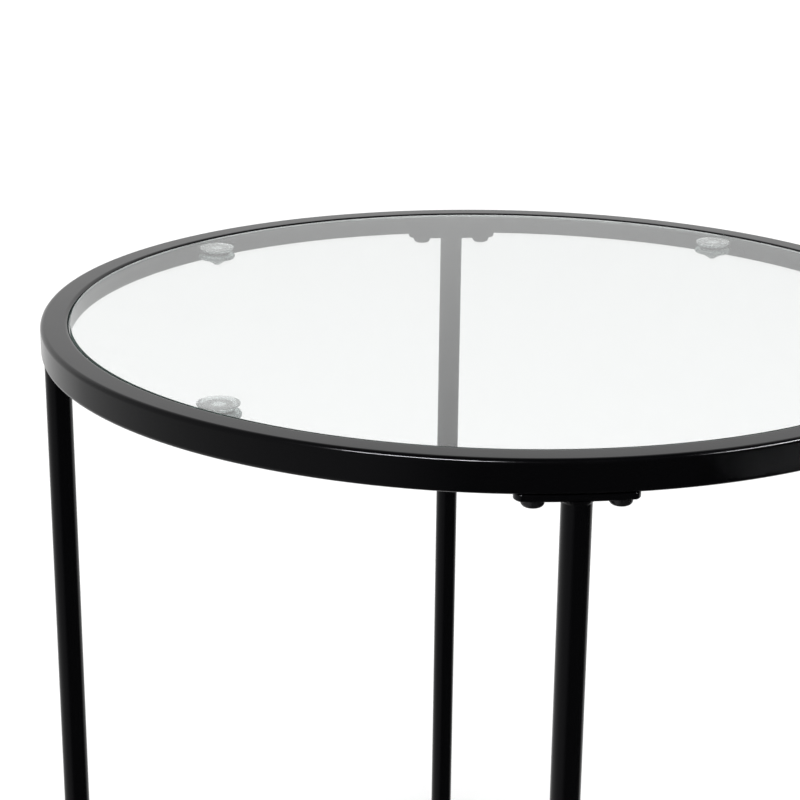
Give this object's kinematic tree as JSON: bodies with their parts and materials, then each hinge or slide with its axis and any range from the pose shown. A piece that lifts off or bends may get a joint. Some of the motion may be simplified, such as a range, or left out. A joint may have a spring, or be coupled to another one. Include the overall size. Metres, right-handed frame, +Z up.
{
  "type": "nesting tables",
  "caption": "Nest of round side tables in black steel: glass panes lie inside tube rings on clear pads, and the smaller table slides in under the larger one.",
  "frame": {"origin": "centre of the footprint of both tables, with the small one pulled out, on the floor", "axes": "+X is the way the small table pulls out, +Z up, +Y completes the right-handed frame"},
  "size_m": [1, 0.6, 0.55],
  "materials": {
    "frame_black": "semi-gloss black powder coat with a faint orange peel",
    "top_glass": "clear polished float glass, green at its edges",
    "screw_black": "black oxide, satin",
    "insert_steel": "zinc plated",
    "clear_pad": "clear soft PVC",
    "foot_plastic": "matt black moulded plastic"
  },
  "bodies": {
    "large_frame": {"large_ring": "frame_black", "large_screws": "screw_black", "large_inserts": "insert_steel", "large_tab_1": "frame_black", "large_tab_2": "frame_black", "large_tab_3": "frame_black", "large_tab_4": "frame_black", "large_pad_1": "clear_pad", "large_pad_2": "clear_pad", "large_pad_3": "clear_pad", "large_pad_4": "clear_pad", "large_leg_1": "frame_black", "large_leg_2": "frame_black", "large_leg_3": "frame_black", "large_leg_4": "frame_black", "large_plate_1": "frame_black", "large_plate_2": "frame_black", "large_plate_3": "frame_black", "large_plate_4": "frame_black", "large_foot_1": "foot_plastic", "large_foot_2": "foot_plastic", "large_foot_3": "foot_plastic", "large_foot_4": "foot_plastic"},
    "large_pane": {"large_glass": "top_glass"},
    "small_frame": {"small_ring": "frame_black", "small_screws": "screw_black", "small_inserts": "insert_steel", "small_tab_1": "frame_black", "small_tab_2": "frame_black", "small_tab_3": "frame_black", "small_tab_4": "frame_black", "small_pad_1": "clear_pad", "small_pad_2": "clear_pad", "small_pad_3": "clear_pad", "small_pad_4": "clear_pad", "small_leg_1": "frame_black", "small_leg_2": "frame_black", "small_leg_3": "frame_black", "small_leg_4": "frame_black", "small_plate_1": "frame_black", "small_plate_2": "frame_black", "small_plate_3": "frame_black", "small_plate_4": "frame_black", "small_foot_1": "foot_plastic", "small_foot_2": "foot_plastic", "small_foot_3": "foot_plastic", "small_foot_4": "foot_plastic"},
    "small_pane": {"small_glass": "top_glass"}
  },
  "joints": [
    {"name": "nest_slide", "type": "slide", "parent": "large_frame", "child": "small_frame", "axis": [-1, 0, 0], "range_m": [0, 0.51]},
    {"name": "large_pane_lift", "type": "slide", "parent": "large_frame", "child": "large_pane", "axis": [0, 0, 1], "range_m": [0, 0.035]},
    {"name": "small_pane_lift", "type": "slide", "parent": "small_frame", "child": "small_pane", "axis": [0, 0, 1], "range_m": [0, 0.035]}
  ]
}
